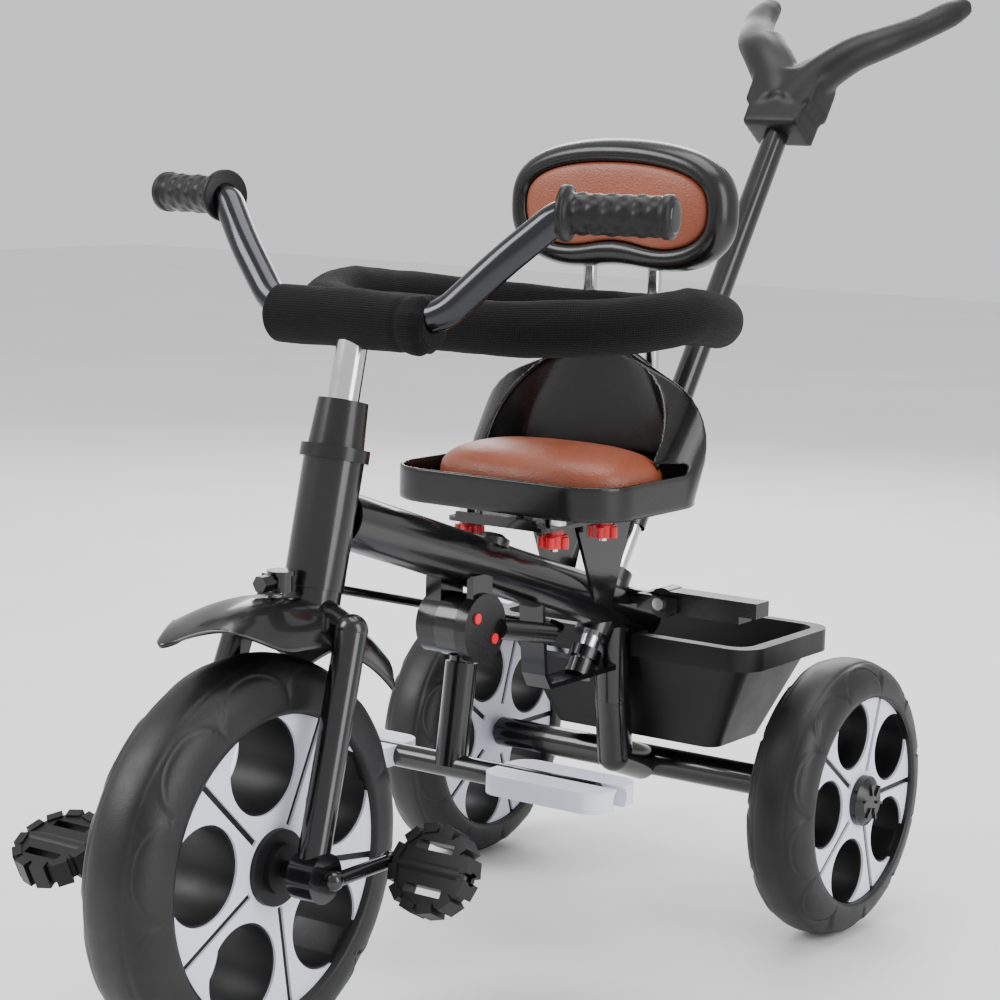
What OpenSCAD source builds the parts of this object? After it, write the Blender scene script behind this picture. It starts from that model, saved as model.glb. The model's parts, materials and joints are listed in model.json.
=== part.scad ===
// Children's tricycle with push handle, guard ring, basket and folding footrest.
// Millimetres. +Z is up, the tricycle faces -Y, and its left side is +X.
// Inside the modules y is counted from the rear axle; placed() then centres the whole length on the origin.

/* [Rear wheels] */
// Diameter of a rear wheel
rear_wheel_d = 220; // [190:1:250]
// Width of a rear tyre
rear_tyre_w = 52; // [40:1:60]
// Distance between the rear wheels' middle planes
rear_track = 352; // [330:1:420]
// Diameter of the rear wheels' plated opening
rear_opening_d = 165; // [140:1:180]

/* [Front wheel] */
// Diameter of the front wheel
front_wheel_d = 280; // [250:1:290]
// Width of the front tyre
front_tyre_w = 60; // [45:1:64]
// Diameter of the front wheel's plated opening
front_opening_d = 207; // [180:1:220]
// Distance between the axles
wheelbase = 509; // [490:1:560]
// Number of holes in each wheel
wheel_holes = 5; // [4:1:6]

/* [Steering] */
// Rake of the steering axis
rake = 13.2; // [8:0.1:18]
// Trail, from the steering axis at the ground to the front axle's plane
axis_lead = 6.4; // [0:0.1:15]
// Diameter of the head tube
head_tube_d = 42; // [38:1:46]
// Diameter of the steerer that turns in it
steerer_d = 24; // [20:1:26]
// Diameter of the handlebar tube and its stem
bar_d = 22; // [20:1:24]
// Height of the middle of the handlebar
bar_z = 500; // [480:1:540]
// Length of a grip
grip_l = 76; // [70:1:100]
// Diameter of a fork leg
fork_leg_d = 22; // [18:1:24]

/* [Pedals] */
// Length of a crank
crank_r = 60; // [50:1:70]
// Diameter of the crank axle
crank_d = 12; // [10:0.5:14]
// Diameter of a round pedal
pedal_d = 63; // [56:1:64]
// Thickness of a pedal
pedal_t = 15; // [12:1:18]
// Distance of a pedal's middle from the middle plane
pedal_x = 113; // [112:1:130]

/* [Frame] */
// Diameter of the main tube
main_d = 40; // [36:1:44]
// Diameter of the post that goes down to the axle tube
post_d = 29; // [25:1:32]
// Diameter of the rear axle tube
axle_tube_d = 25; // [22:1:30]
// Diameter of the rear axle
axle_d = 12; // [10:0.5:14]

/* [Seat] */
// Width of the seat shell
seat_w = 206; // [190:1:220]
// Depth of the seat shell
seat_depth = 156; // [140:1:160]
// Height of the seat shell's pan above its underside
seat_pan_h = 27; // [22:1:32]
// Height of the top of the seat's back
seat_back_z = 460; // [445:1:461]
// Wall of the seat shell
seat_wall = 3; // [2.5:0.1:4]
// Distance between the left and right seat bolts
seat_bolt_dx = 77; // [70:1:80]
// Distance between the front and rear seat bolts
seat_bolt_dy = 67; // [60:1:70]
// Half of the seat's fore and aft travel
seat_travel = 8; // [4:1:8]

/* [Backrest and guard ring] */
// Width of the backrest
backrest_w = 204; // [190:1:230]
// Height of the backrest
backrest_h = 107; // [95:1:120]
// Thickness of the backrest
backrest_t = 30; // [24:1:36]
// Diameter of a backrest post
back_post_d = 11; // [9:1:13]
// Thickness of the padded guard ring
ring_d = 38; // [30:1:40]
// Half of the guard ring's width, to the middle of its tube
ring_r = 148; // [140:1:150]

/* [Push pole] */
// Lean of the push pole from upright
pole_lean = 34; // [28:1:38]
// Diameter of the lower pole
pole_d = 16; // [14:1:18]
// Outer diameter of the upper pole
upper_pole_d = 21; // [20:1:24]
// Height of the upper pole's lower end
upper_pole_z = 311; // [308:1:330]
// Height of the push handle's underside
handle_z = 626; // [610:1:636]
// Width across the push handle's horns
handle_w = 218; // [190:1:240]

/* [Basket] */
// Width across the basket's rim
basket_w = 256; // [230:1:270]
// Depth across the basket's rim
basket_depth = 140; // [120:1:145]
// Height of the basket
basket_h = 92; // [80:1:100]
// Wall of the basket
basket_wall = 2.5; // [2:0.1:3]

/* [Footrest] */
// Diameter of the folding barrel
barrel_d = 46; // [42:1:50]
// Distance from the barrel's axis down to the cross tube
footrest_drop = 104; // [95:1:112]
// Width across the footrest
footrest_w = 300; // [260:1:330]

/* [Hidden] */

// Radial clearance of a running fit, and the gap kept between soft or loose neighbours
run_fit = 0.05;
gap = 0.3;

// Wheels and axle heights
rear_r = rear_wheel_d / 2;
front_r = front_wheel_d / 2;
front_y = -wheelbase;

// Steering axis: distance from the ground point along the axis is called s
axis_y0 = front_y - axis_lead;
head_lo = 316;
head_hi = 402;
sleeve_hi = 442;
crown_lo = 304.5;
function on_axis(z) = z / cos(rake);

// Main tube
tube_front = [0, axis_y0 + head_lo * tan(rake) + 27, 361];
tube_end = [0, -18, 234];
tube_pitch = atan2(tube_front.z - tube_end.z, tube_end.y - tube_front.y);
function tube_z(y) = tube_end.z + (tube_end.y - y) * tan(tube_pitch);

// Push pole: its axis passes through pole_foot
pole_foot = [0, -102, 211];
function on_pole(z) = (z - pole_foot.z) / cos(pole_lean);
socket_lo = 229;
socket_hi = 268;
socket_d = 30;
crank_z = 219;
rod_x = -38;

// Seat
plate_z = 333;
plate_t = 3;
seat_z = 345;
seat_rear = -82;
seat_front = seat_rear - seat_depth;
seat_mid_y = -172;
seat_bolt_d = 6;
knob_z = 319;
knob_h = plate_z - knob_z - gap;

// Backrest posts and ring
post_x = 30;
post_y = -62;
post_top = 530;
ring_side_z = 500;
ring_rear_z = 482;
ring_front_z = 490;

// Backrest
backrest_z = 568;
backrest_front = -80;

// Footrest
barrel_y = -267;
barrel_z = 264;
barrel_lo = -26;
barrel_hi = 21;

// Whole length, from the front tyre to the handle's rear tips
handle_rear = 336;
shift_y = (front_r - front_y - handle_rear) / 2;
module placed() { translate([0, shift_y, 0]) children(); }

// Round bar from p to q
module rod(p, q, r) {
    v = q - p;
    translate(p) rotate([0, acos(v.z / norm(v)), atan2(v.y, v.x)])
        cylinder(h = norm(v), r = r, $fn = 48);
}

// Bent tube through the points, with a ball at each bend
module bent(points, r) {
    for (i = [0 : len(points) - 2]) rod(points[i], points[i + 1], r);
    if (len(points) > 2) for (i = [1 : len(points) - 2]) translate(points[i]) sphere(r = r + 0.15, $fn = 48);
}

// Cylinder along +X, centred on x
module disc_x(x, y, z, r, w) { translate([x - w / 2, y, z]) rotate([0, 90, 0]) cylinder(h = w, r = r, $fn = 64); }

// Frames of the steering axis and of the push pole: their +Z runs up the axis
module on_steering() { translate([0, axis_y0, 0]) rotate([-rake, 0, 0]) children(); }
module on_push_pole() { translate(pole_foot) rotate([-pole_lean, 0, 0]) children(); }

// Slab with round corners, from z to z + h
module round_slab(w, d, h, r) {
    linear_extrude(h) union() {
        square([w - 2 * r, d], center = true);
        square([w, d - 2 * r], center = true);
        for (sx = [-1, 1]) for (sy = [-1, 1])
            translate([sx * (w / 2 - r), sy * (d / 2 - r)]) circle(r = r, $fn = 48);
    }
}

// ---------- Wheels ----------

// Profile of a tyre: a half superellipse that stands on the opening's edge
function tyre_half(r_in, r_out, w, steps = 14, n = 2.3) = [for (i = [0 : steps])
    let (t = -90 + 180 * i / steps)
    [r_in + (r_out - r_in) * pow(abs(cos(t)), 2 / n), w / 2 * sign(t) * pow(abs(sin(t)), 2 / n)]];

module tyre(r_in, r_out, w) {
    rotate([0, 90, 0]) rotate_extrude($fn = 96) polygon(tyre_half(r_in, r_out, w));
}

// The holes of a wheel, along its axis (the child of the caller is centred on x = 0)
module wheel_holes_cut(opening, w, grow = 0) {
    for (i = [0 : wheel_holes - 1]) rotate([i * 360 / wheel_holes, 0, 0])
        disc_x(0, 0, opening * 0.70, opening * 0.31 + grow, w);
}

// The slots down the middle of the arms between the holes
module arm_slots_cut(cap_r, opening, w) {
    for (i = [0 : wheel_holes - 1]) rotate([(i + 0.5) * 360 / wheel_holes, 0, 0])
        translate([-w / 2, -2.4, cap_r + 3]) cube([w, 4.8, opening]);
}

module wheel_core(opening, w, axle_r) {
    difference() {
        rotate([0, 90, 0]) translate([0, 0, -w / 2]) cylinder(h = w, r = opening, $fn = 96);
        wheel_holes_cut(opening, w + 2);
        disc_x(0, 0, 0, axle_r, w + 2);
    }
}

module wheel_plates(opening, cap_r, core_w, hub_r) {
    for (side = [-1, 1]) difference() {
        disc_x(side * (core_w / 2 + 1), 0, 0, opening - 0.8, 2);
        translate([side * (core_w / 2 + 1), 0, 0]) {
            wheel_holes_cut(opening, 4, 1.5);
            arm_slots_cut(cap_r, opening, 4);
            disc_x(0, 0, 0, hub_r, 4);
        }
    }
}

rear_core_w = 42;
front_core_w = 48;
rear_cap_r = 20;
front_cap_r = 26;

module rear_wheel_at(side) {
    placed() translate([side * rear_track / 2, 0, rear_r]) rotate([18, 0, 0]) children();
}
module front_wheel_at() { placed() translate([0, front_y, front_r]) rotate([10, 0, 0]) children(); }

module rear_wheel(side) {
    color([0.04, 0.04, 0.045]) rear_wheel_at(side) {
        difference() {
            union() {
                tyre(rear_opening_d / 2 - 0.5, rear_r, rear_tyre_w);
                wheel_core(rear_opening_d / 2, rear_core_w, 5);
            }
            wheel_holes_cut(rear_opening_d / 2, rear_core_w + 0.2);
            disc_x(0, 0, 0, axle_d / 2 + run_fit, rear_tyre_w);
        }
    }
}
module rear_plates(side) {
    color("white") rear_wheel_at(side) wheel_plates(rear_opening_d / 2, rear_cap_r, rear_core_w, axle_d / 2 + 1);
}
module rear_cap(side) {
    color([0.03, 0.03, 0.03]) rear_wheel_at(side) difference() {
        rotate([0, side * 90, 0]) translate([0, 0, rear_core_w / 2 + 2]) union() {
            cylinder(h = 5, r = rear_cap_r, $fn = 64);
            translate([0, 0, 5]) cylinder(h = 5, r1 = rear_cap_r - 1, r2 = rear_cap_r - 6, $fn = 64);
            for (k = [0 : 5]) rotate([0, 0, 60 * k]) translate([6, -1, 6]) cube([9, 2, 5.5]);
        }
        rotate([0, side * 90, 0]) cylinder(h = rear_core_w / 2 + 2 + 6.5, r = axle_d / 2 + 0.4, $fn = 48);
    }
}

module front_tyre() {
    color([0.04, 0.04, 0.045]) front_wheel_at() difference() {
        tyre(front_opening_d / 2, front_r, front_tyre_w);
        wheel_holes_cut(front_opening_d / 2, front_tyre_w + 2);
    }
}
module front_wheel() {
    color([0.03, 0.03, 0.03]) front_wheel_at() difference() {
        union() {
            wheel_core(front_opening_d / 2, front_core_w, 4);
            disc_x(0, 0, 0, front_cap_r, front_core_w + 12);
            disc_x(0, 0, 0, front_cap_r - 9, front_core_w + 22);
        }
        disc_x(0, 0, 0, crank_d / 2, front_core_w + 30);
    }
}
module front_plates() {
    color("white") front_wheel_at()
        wheel_plates(front_opening_d / 2, front_cap_r, front_core_w, front_cap_r + 0.2);
}

// ---------- Cranks and pedals ----------

crank_x = 75.5;
pedal_pin_d = 9;
pedal_pin_end = pedal_x + pedal_d / 2 - 6;
module crank_axle() {
    color("silver") placed() translate([0, front_y, front_r]) {
        rod([-crank_x, 0, 0], [crank_x, 0, 0], crank_d / 2);
        for (side = [-1, 1]) {
            rod([side * crank_x, 0, 0], [side * crank_x, side * crank_r, 0], crank_d / 2 - 1);
            for (y = [0, side * crank_r]) translate([side * crank_x, y, 0]) sphere(r = crank_d / 2 + 0.8, $fn = 48);
            rod([side * crank_x, side * crank_r, 0], [side * pedal_pin_end, side * crank_r, 0], pedal_pin_d / 2);
        }
    }
}

// Round pedal with two thick treads, a cross bar hub and studs round its edge
module pedal(side, tilt) {
    lugs = 12;
    color([0.05, 0.05, 0.05]) placed()
        translate([side * pedal_x, front_y + side * crank_r, front_r]) rotate([tilt, 0, 0]) difference() {
            union() {
                translate([0, 0, -pedal_t / 2]) cylinder(h = pedal_t, r = pedal_d / 2 - 4, $fn = 64);
                for (k = [0 : lugs - 1]) rotate([0, 0, k * 360 / lugs + 15])
                    translate([pedal_d / 2 - 7, -5.5, -pedal_t / 2 - 1.5]) cube([6.5, 11, pedal_t + 3]);
                disc_x(0, 0, 0, 8.5, pedal_d - 8);
            }
            for (s = [-1, 1]) translate([-15, s * 15 - 3, -pedal_t]) cube([30, 6, 2 * pedal_t]);
            disc_x(0, 0, 0, pedal_pin_d / 2 + run_fit, pedal_d + 2);
        }
}

// ---------- Frame ----------

module main_tube() {
    color([0.05, 0.05, 0.05]) placed() difference() {
        rod(tube_front, tube_end, main_d / 2);
        rod(tube_front, tube_end, main_d / 2 - 2);
        on_steering() translate([0, 0, on_axis(head_lo) - 30]) cylinder(h = 160, r = head_tube_d / 2, $fn = 64);
        on_push_pole() translate([0, 0, -20]) cylinder(h = 120, r = socket_d / 2, $fn = 64);
    }
}

module head_tube() {
    color([0.05, 0.05, 0.05]) placed() on_steering() difference() {
        translate([0, 0, on_axis(head_lo)])
            cylinder(h = on_axis(head_hi) - on_axis(head_lo), r = head_tube_d / 2, $fn = 64);
        translate([0, 0, on_axis(head_lo) - 1]) cylinder(h = 120, r = head_tube_d / 2 - 3, $fn = 64);
    }
}

// Plastic bearing bushes pressed into the head tube's ends
module head_bushes() {
    color("dimgray") placed() on_steering() for (z = [head_lo, head_hi - 14]) difference() {
        translate([0, 0, on_axis(z)]) cylinder(h = 14, r = head_tube_d / 2 - 3, $fn = 64);
        translate([0, 0, on_axis(z) - 1]) cylinder(h = 16, r = steerer_d / 2 + run_fit, $fn = 64);
    }
}
// Plastic collars on top of the head tube and of the pole's socket
module collars() {
    color([0.04, 0.04, 0.04]) placed() on_steering() difference() {
        translate([0, 0, on_axis(head_hi)]) cylinder(h = 9, r = head_tube_d / 2 + 3, $fn = 64);
        translate([0, 0, on_axis(head_hi) - 1]) cylinder(h = 12, r = steerer_d / 2 + 1, $fn = 64);
    }
    color([0.04, 0.04, 0.04]) placed() on_push_pole() difference() {
        translate([0, 0, on_pole(socket_hi)]) cylinder(h = 11, r = 14, $fn = 64);
        translate([0, 0, on_pole(socket_hi) - 1]) cylinder(h = 14, r = pole_d / 2 + 0.4, $fn = 64);
    }
}

post_foot = [0, -8, rear_r - 1];
axle_tube_end = rear_track / 2 - rear_tyre_w / 2 - 2;
module rear_frame() {
    color([0.05, 0.05, 0.05]) placed() difference() {
        union() {
            bent([[0, -62, 246], [0, -57, 172], [0, -50, 124], post_foot], post_d / 2);
            disc_x(0, 0, rear_r, axle_tube_d / 2, 2 * axle_tube_end);
        }
        rod(tube_front, tube_end, main_d / 2);
        on_push_pole() translate([0, 0, -20]) cylinder(h = 120, r = socket_d / 2, $fn = 64);
        disc_x(0, 0, rear_r, axle_d / 2, 2 * axle_tube_end + 2);
    }
}
module rear_axle() {
    color("silver") placed()
        disc_x(0, 0, rear_r, axle_d / 2, rear_track + rear_core_w + 4 + 12);
}
module tube_cap() {
    color([0.06, 0.06, 0.06]) placed() difference() {
        translate([0, -232, tube_z(-232) + main_d / 2 - 3]) rotate([-tube_pitch, 0, 0]) {
            cylinder(h = 6, r = 13, $fn = 48);
            translate([0, 0, 6]) cylinder(h = 3, r1 = 12, r2 = 7, $fn = 48);
        }
        rod(tube_front, tube_end, main_d / 2);
    }
}

// Sleeve through the main tube, in which the push pole turns
module pole_socket() {
    color([0.05, 0.05, 0.05]) placed() on_push_pole() difference() {
        translate([0, 0, on_pole(socket_lo)])
            cylinder(h = on_pole(socket_hi) - on_pole(socket_lo), r = socket_d / 2, $fn = 64);
        translate([0, 0, on_pole(socket_lo) - 1]) cylinder(h = 80, r = pole_d / 2 + run_fit, $fn = 64);
    }
}

// Strap under the main tube that holds the pole's foot
strap_w = 22;
strap_t = 4;
module pole_bracket() {
    low = 199;
    color([0.08, 0.08, 0.08]) placed() difference() {
        union() {
            rotate([90, 0, 90]) linear_extrude(strap_w, center = true) polygon([
                [-178, tube_z(-178) - main_d / 2 + 2], [-172, low + 12], [-164, low], [-70, low], [-70, low + strap_t],
                [-162, low + strap_t], [-168, low + 14], [-174, tube_z(-174) - main_d / 2 + 2]]);
            on_push_pole() translate([0, 0, -14]) cylinder(h = 12, r = 11, $fn = 48);
        }
        rod(tube_front, tube_end, main_d / 2);
        rod(stay_from, stay_to, stay_r);
        bent([[0, -62, 246], [0, -57, 172], [0, -50, 124]], post_d / 2);
        on_push_pole() translate([0, 0, -10]) cylinder(h = 30, r = pole_d / 2 + run_fit, $fn = 48);
    }
}

// Folded cheeks that carry the seat's base plate on the main tube
cheek_t = 3;
module seat_bracket() {
    color([0.06, 0.06, 0.06]) placed() difference() {
        for (side = [-1, 1]) translate([side * (main_d / 2 + cheek_t / 2 - 1), 0, 0]) rotate([90, 0, 90])
            linear_extrude(cheek_t, center = true) polygon([
                [-152, plate_z], [-148, plate_z - 10], [-120, tube_z(-120) - 4], [-98, tube_z(-98) - 6],
                [-72, plate_z - 10], [-72, plate_z]]);
        rod(tube_front, tube_end, main_d / 2);
        on_push_pole() translate([0, 0, on_pole(socket_lo)]) cylinder(h = 200, r = socket_d / 2, $fn = 48);
    }
}

// Shallow tray with slots for the seat bolts
tray_w = 94;
tray_front = -228;
tray_rear = -50;
function bolt_at(i) = [(i % 2 == 0 ? 1 : -1) * seat_bolt_dx / 2, seat_mid_y + (i < 2 ? -1 : 1) * seat_bolt_dy / 2];
module seat_base_plate() {
    color([0.06, 0.06, 0.06]) placed() difference() {
        translate([0, (tray_front + tray_rear) / 2, plate_z]) union() {
            round_slab(tray_w, tray_rear - tray_front, plate_t, 8);
            translate([-tray_w / 2 + 10, -(tray_rear - tray_front) / 2, 0]) cube([tray_w - 20, 3, seat_z - plate_z - 4.3]);
        }
        for (side = [-1, 1]) translate([side * post_x, post_y, plate_z - 1]) cylinder(h = 9, r = back_post_d / 2, $fn = 48);
        on_push_pole() cylinder(h = 300, r = upper_pole_d / 2 + 1, $fn = 48);
        for (i = [0 : 3]) translate([bolt_at(i).x, bolt_at(i).y, plate_z - 1]) {
            for (s = [-1, 1]) translate([0, s * seat_travel, 0]) cylinder(h = 6, r = seat_bolt_d / 2 + 0.4, $fn = 32);
            translate([-seat_bolt_d / 2 - 0.4, -seat_travel, 0]) cube([seat_bolt_d + 0.8, 2 * seat_travel, 6]);
        }
    }
}

module backrest_posts() {
    color("silver") placed() for (side = [-1, 1]) translate([side * post_x, post_y, plate_z - 8])
        cylinder(h = post_top - plate_z + 8, r = back_post_d / 2, $fn = 48);
}

// ---------- Backrest and guard ring ----------

module bean(w, h, t) {
    // Two big lobes, filled between, with a shallow dip under the middle
    r = h / 2 * 0.86;
    rotate([90, 0, 0]) linear_extrude(t, center = true) difference() {
        union() {
            for (s = [-1, 1]) translate([s * (w / 2 - r), h / 2 - r]) circle(r = r, $fn = 64);
            for (s = [-1, 1]) translate([s * (w / 2 - r), -(h / 2 - r)]) circle(r = r, $fn = 64);
            square([w - 2 * r, h], center = true);
            square([w, h - 2 * r], center = true);
        }
        translate([0, -h / 2 - 90 + 8]) circle(r = 90, $fn = 96);
    }
}
module backrest_shell() {
    color([0.04, 0.04, 0.04]) placed() difference() {
        translate([0, backrest_front + backrest_t / 2, backrest_z]) bean(backrest_w, backrest_h, backrest_t);
        translate([0, backrest_front, backrest_z]) bean(backrest_w - 30, backrest_h - 30, 14);
        for (s = [-1, 1]) translate([s * post_x, post_y, backrest_z - backrest_h])
            cylinder(h = post_top - backrest_z + backrest_h + 0.2, r = back_post_d / 2, $fn = 48);
    }
}
module backrest_pad() {
    color([0.45, 0.16, 0.08]) placed() translate([0, backrest_front + 2.5, backrest_z])
        bean(backrest_w - 30 - 2 * gap, backrest_h - 30 - 2 * gap, 8.4);
}

// Quarter or more of a round tube bent to radius bend, from angle a round by turn
module quarter_tube(bend, r, a, turn) {
    rotate([0, 0, a]) rotate_extrude(angle = turn, $fn = 96) translate([bend, 0]) circle(r = r, $fn = 48);
}
// The ring dips at the posts and at the front, and rises at the sides
ring_mid_y = post_y - ring_r;
ring_front_r = 100;
ring_straight = 2;
module ring_front(r) {
    for (s = [-1, 1]) {
        rod([s * ring_r, 0, 0], [s * ring_r, -ring_straight, 0], r);
        translate([s * (ring_r - ring_front_r), -ring_straight, 0]) quarter_tube(ring_front_r, r, s > 0 ? 270 : 180, 90);
    }
    rod([ring_front_r - ring_r, -ring_straight - ring_front_r, 0], [ring_r - ring_front_r, -ring_straight - ring_front_r, 0], r);
}
module guard_ring() {
    color([0.03, 0.03, 0.03]) placed() difference() {
        translate([0, ring_mid_y, ring_side_z]) {
            rotate([-asin((ring_side_z - ring_rear_z) / ring_r), 0, 0]) quarter_tube(ring_r, ring_d / 2, 0, 180);
            rotate([asin((ring_side_z - ring_front_z) / ring_front_r), 0, 0]) ring_front(ring_d / 2);
            for (s = [-1, 1]) translate([s * ring_r, 0, 0]) sphere(r = ring_d / 2 + 0.3, $fn = 48);
        }
        for (s = [-1, 1]) translate([s * post_x, post_y, ring_rear_z - 60])
            cylinder(h = 120, r = back_post_d / 2, $fn = 48);
    }
}

// ---------- Seat ----------

// Plate of the seat back's outline: a round arch with straight sides down to the pan
module arch_plate(r, y, z, lean = 0) {
    translate([0, y, z]) rotate([-lean, 0, 0]) {
        rotate([90, 0, 0]) cylinder(h = 0.4, r = r, $fn = 48);
        translate([-r, -0.4, -(z - seat_z - 8) / cos(lean)]) cube([2 * r, 0.4, (z - seat_z - 8) / cos(lean)]);
    }
}
// Keeps what is above a height
module above(z) {
    intersection() {
        children();
        translate([-200, seat_front - 60, z]) cube([400, 300, 200]);
    }
}
seat_arch_r = 82;
seat_arch_y = -125;
seat_arch_z = 390;
seat_arch_lean = 29;
seat_flank_r = 50;
seat_pan_r = 40;
cushion_w = 178;
cushion_d = 116;
cushion_y = -156;
cushion_top = 391;
crown_r = 260;
module seat_shell() {
    color([0.05, 0.05, 0.055]) placed() difference() {
        union() {
            translate([0, (seat_front + seat_rear) / 2, seat_z]) round_slab(seat_w, seat_depth, seat_pan_h, seat_pan_r);
            above(seat_z) hull() {
                arch_plate(seat_arch_r, seat_arch_y, seat_arch_z, seat_arch_lean);
                arch_plate(88, -98, seat_back_z - 88);
                for (s = [-1, 1]) translate([s * (seat_w / 2 + 2 - seat_flank_r), -98, 392]) rotate([90, 0, 0])
                    cylinder(h = 0.4, r = seat_flank_r, $fn = 32);
                arch_plate(66, seat_rear + 3, 382);
                for (s = [-1, 1]) translate([s * (seat_w / 2 - seat_pan_r), seat_rear - seat_pan_r - 2, seat_z])
                    cylinder(h = 1, r = seat_pan_r, $fn = 32);
            }
        }
        translate([0, (seat_front + seat_rear) / 2, seat_z + 7])
            round_slab(seat_w - 2 * seat_wall, seat_depth - 2 * seat_wall, seat_pan_h, seat_pan_r - seat_wall);
        above(seat_z + 7) hull() {
            arch_plate(seat_arch_r - seat_wall, seat_arch_y - 50, seat_arch_z, seat_arch_lean);
            arch_plate(seat_arch_r - seat_wall, seat_arch_y, seat_arch_z, seat_arch_lean);
            arch_plate(68, -94, 380);
            for (s = [-1, 1]) translate([s * 45, -128, seat_z + 8]) cylinder(h = 1, r = 34, $fn = 32);
        }
        for (i = [0 : 3]) translate([bolt_at(i).x, bolt_at(i).y, seat_z - 1])
            cylinder(h = 20, r = seat_bolt_d / 2, $fn = 32);
    }
}
module seat_pad() {
    color([0.45, 0.16, 0.08]) placed() intersection() {
        translate([0, cushion_y, seat_z + 7 + gap]) round_slab(cushion_w, cushion_d, 50, 45);
        translate([0, cushion_y, cushion_top - crown_r]) sphere(r = crown_r, $fn = 96);
    }
}
module seat_bolts() {
    color("silver") placed() for (i = [0 : 3]) translate([bolt_at(i).x, bolt_at(i).y, 0]) {
        translate([0, 0, knob_z - 3]) cylinder(h = seat_z + 6 - knob_z, r = seat_bolt_d / 2, $fn = 48);
        translate([0, 0, plate_z + plate_t + gap]) cylinder(h = seat_z - plate_z - plate_t - gap, r = 9, $fn = 48);
    }
}
// Hand knob with five lobes, turning on its bolt
module seat_knob(i) {
    color([0.8, 0.05, 0.08]) placed() translate([bolt_at(i).x, bolt_at(i).y, knob_z]) difference() {
        union() {
            cylinder(h = knob_h - 4, r = 9, $fn = 48);
            translate([0, 0, knob_h - 4]) cylinder(h = 4, r = 7, $fn = 48);
            for (k = [0 : 4]) rotate([0, 0, 72 * k]) translate([9, 0, 0]) cylinder(h = knob_h - 5, r = 3.4, $fn = 32);
        }
        translate([0, 0, -1]) cylinder(h = 30, r = seat_bolt_d / 2 + run_fit, $fn = 48);
    }
}

// ---------- Fork, fender and handlebar ----------

fork_top_x = 47;
leg_foot_x = 58;
crown_y = axis_y0 + crown_lo * tan(rake);
// Crown disc, arms and legs, grown by a clearance where the mudguard is cut for them
module fork_crown(grow) {
    on_steering() translate([0, 0, on_axis(crown_lo) - grow])
        cylinder(h = on_axis(head_lo) - on_axis(crown_lo) - gap + grow, r = 20 + grow, $fn = 64);
    for (s = [-1, 1]) {
        knee = [s * fork_top_x, crown_y - 14, crown_lo - 9];
        rod([s * 10, crown_y - 1, crown_lo + 0.5], knee, 8 + grow);
        translate(knee) sphere(r = fork_leg_d / 2 + 0.2 + grow, $fn = 48);
        rod(knee, [s * leg_foot_x, front_y, front_r + 10], fork_leg_d / 2 + grow);
    }
}
module fork() {
    color([0.05, 0.05, 0.05]) placed() difference() {
        union() {
            on_steering() translate([0, 0, on_axis(crown_lo)])
                cylinder(h = on_axis(stem_foot) - on_axis(crown_lo), r = steerer_d / 2, $fn = 64);
            fork_crown(0);
            for (s = [-1, 1]) disc_x(s * (leg_foot_x + 1), front_y, front_r, 17, 20);
            // Lug for the steering rod
            translate([rod_x, crown_y, crown_lo + 1]) rotate([-rake, 0, 0]) cylinder(h = 5, r = 8, $fn = 48);
            translate([rod_x, crown_y - 7, crown_lo + 1]) rotate([-rake, 0, 0]) cube([-rod_x, 14, 5]);
            translate([rod_x, crown_y, crown_lo + 1]) rotate([-rake, 0, 0]) cylinder(h = 19, r = 3, $fn = 48);
        }
        disc_x(0, front_y, front_r, crank_d / 2 + run_fit, 200);
        disc_x(0, front_y, front_r, 165, 78);
    }
}
// Arched mudguard; the fork legs pass through notches in its edges
fender_r = 180;
fender_from = 42;
fender_to = 113;
function arch(half, r, drop, t, steps = 10) = concat(
    [for (i = [0 : steps]) let (x = -half + 2 * half * i / steps) [r - drop * pow(x / half, 2), x]],
    [for (i = [0 : steps]) let (x = half - 2 * half * i / steps) [r - t - drop * pow(x / half, 2), x]]);
module fender() {
    color([0.04, 0.04, 0.04]) placed() difference() {
        translate([0, front_y, front_r]) rotate([90, 0, 90]) rotate([0, 0, fender_from])
            rotate_extrude(angle = fender_to - fender_from, $fn = 128) polygon(arch(43, fender_r, 22, 3));
        fork_crown(gap);
        translate([rod_x, crown_y - 7 - gap, crown_lo + 1 - gap]) rotate([-rake, 0, 0]) cube([-rod_x, 14 + 2 * gap, 7]);
    }
}
module fender_bolt() {
    bolt_lo = front_r + sqrt(fender_r * fender_r - pow(-476 - 8 - front_y, 2)) + gap;
    color([0.1, 0.1, 0.1]) placed() translate([0, -476, 0]) {
        translate([0, 0, bolt_lo]) cylinder(h = 330 - bolt_lo, r = 8, $fn = 48);
        translate([0, 0, 330]) cylinder(h = 3, r = 9.5, $fn = 48);
        translate([0, -12, 326]) rotate([90, 0, 0]) cylinder(h = 10, r = 6, $fn = 6);
        translate([0, 0, 326]) rotate([90, 0, 0]) cylinder(h = 13, r = 3, $fn = 32);
    }
}
stem_foot = 430;
module stem() {
    color("silver") placed() on_steering() difference() {
        translate([0, 0, on_axis(stem_foot)]) cylinder(h = on_axis(bar_z) - on_axis(stem_foot), r = bar_d / 2, $fn = 64);
        translate([0, 0, on_axis(bar_z)]) rotate([0, 90, 0]) cylinder(h = 80, r = bar_d / 2, center = true, $fn = 64);
    }
}
module stem_sleeve() {
    color([0.04, 0.04, 0.04]) placed() on_steering() difference() {
        translate([0, 0, on_axis(head_hi) + 9 + gap])
            cylinder(h = on_axis(sleeve_hi) - on_axis(head_hi) - 9 - gap, r1 = 19.5, r2 = 17.5, $fn = 64);
        translate([0, 0, on_axis(head_hi)]) cylinder(h = on_axis(stem_foot) - on_axis(head_hi), r = steerer_d / 2, $fn = 64);
        translate([0, 0, on_axis(stem_foot)]) cylinder(h = 60, r = bar_d / 2, $fn = 64);
    }
}

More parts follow.
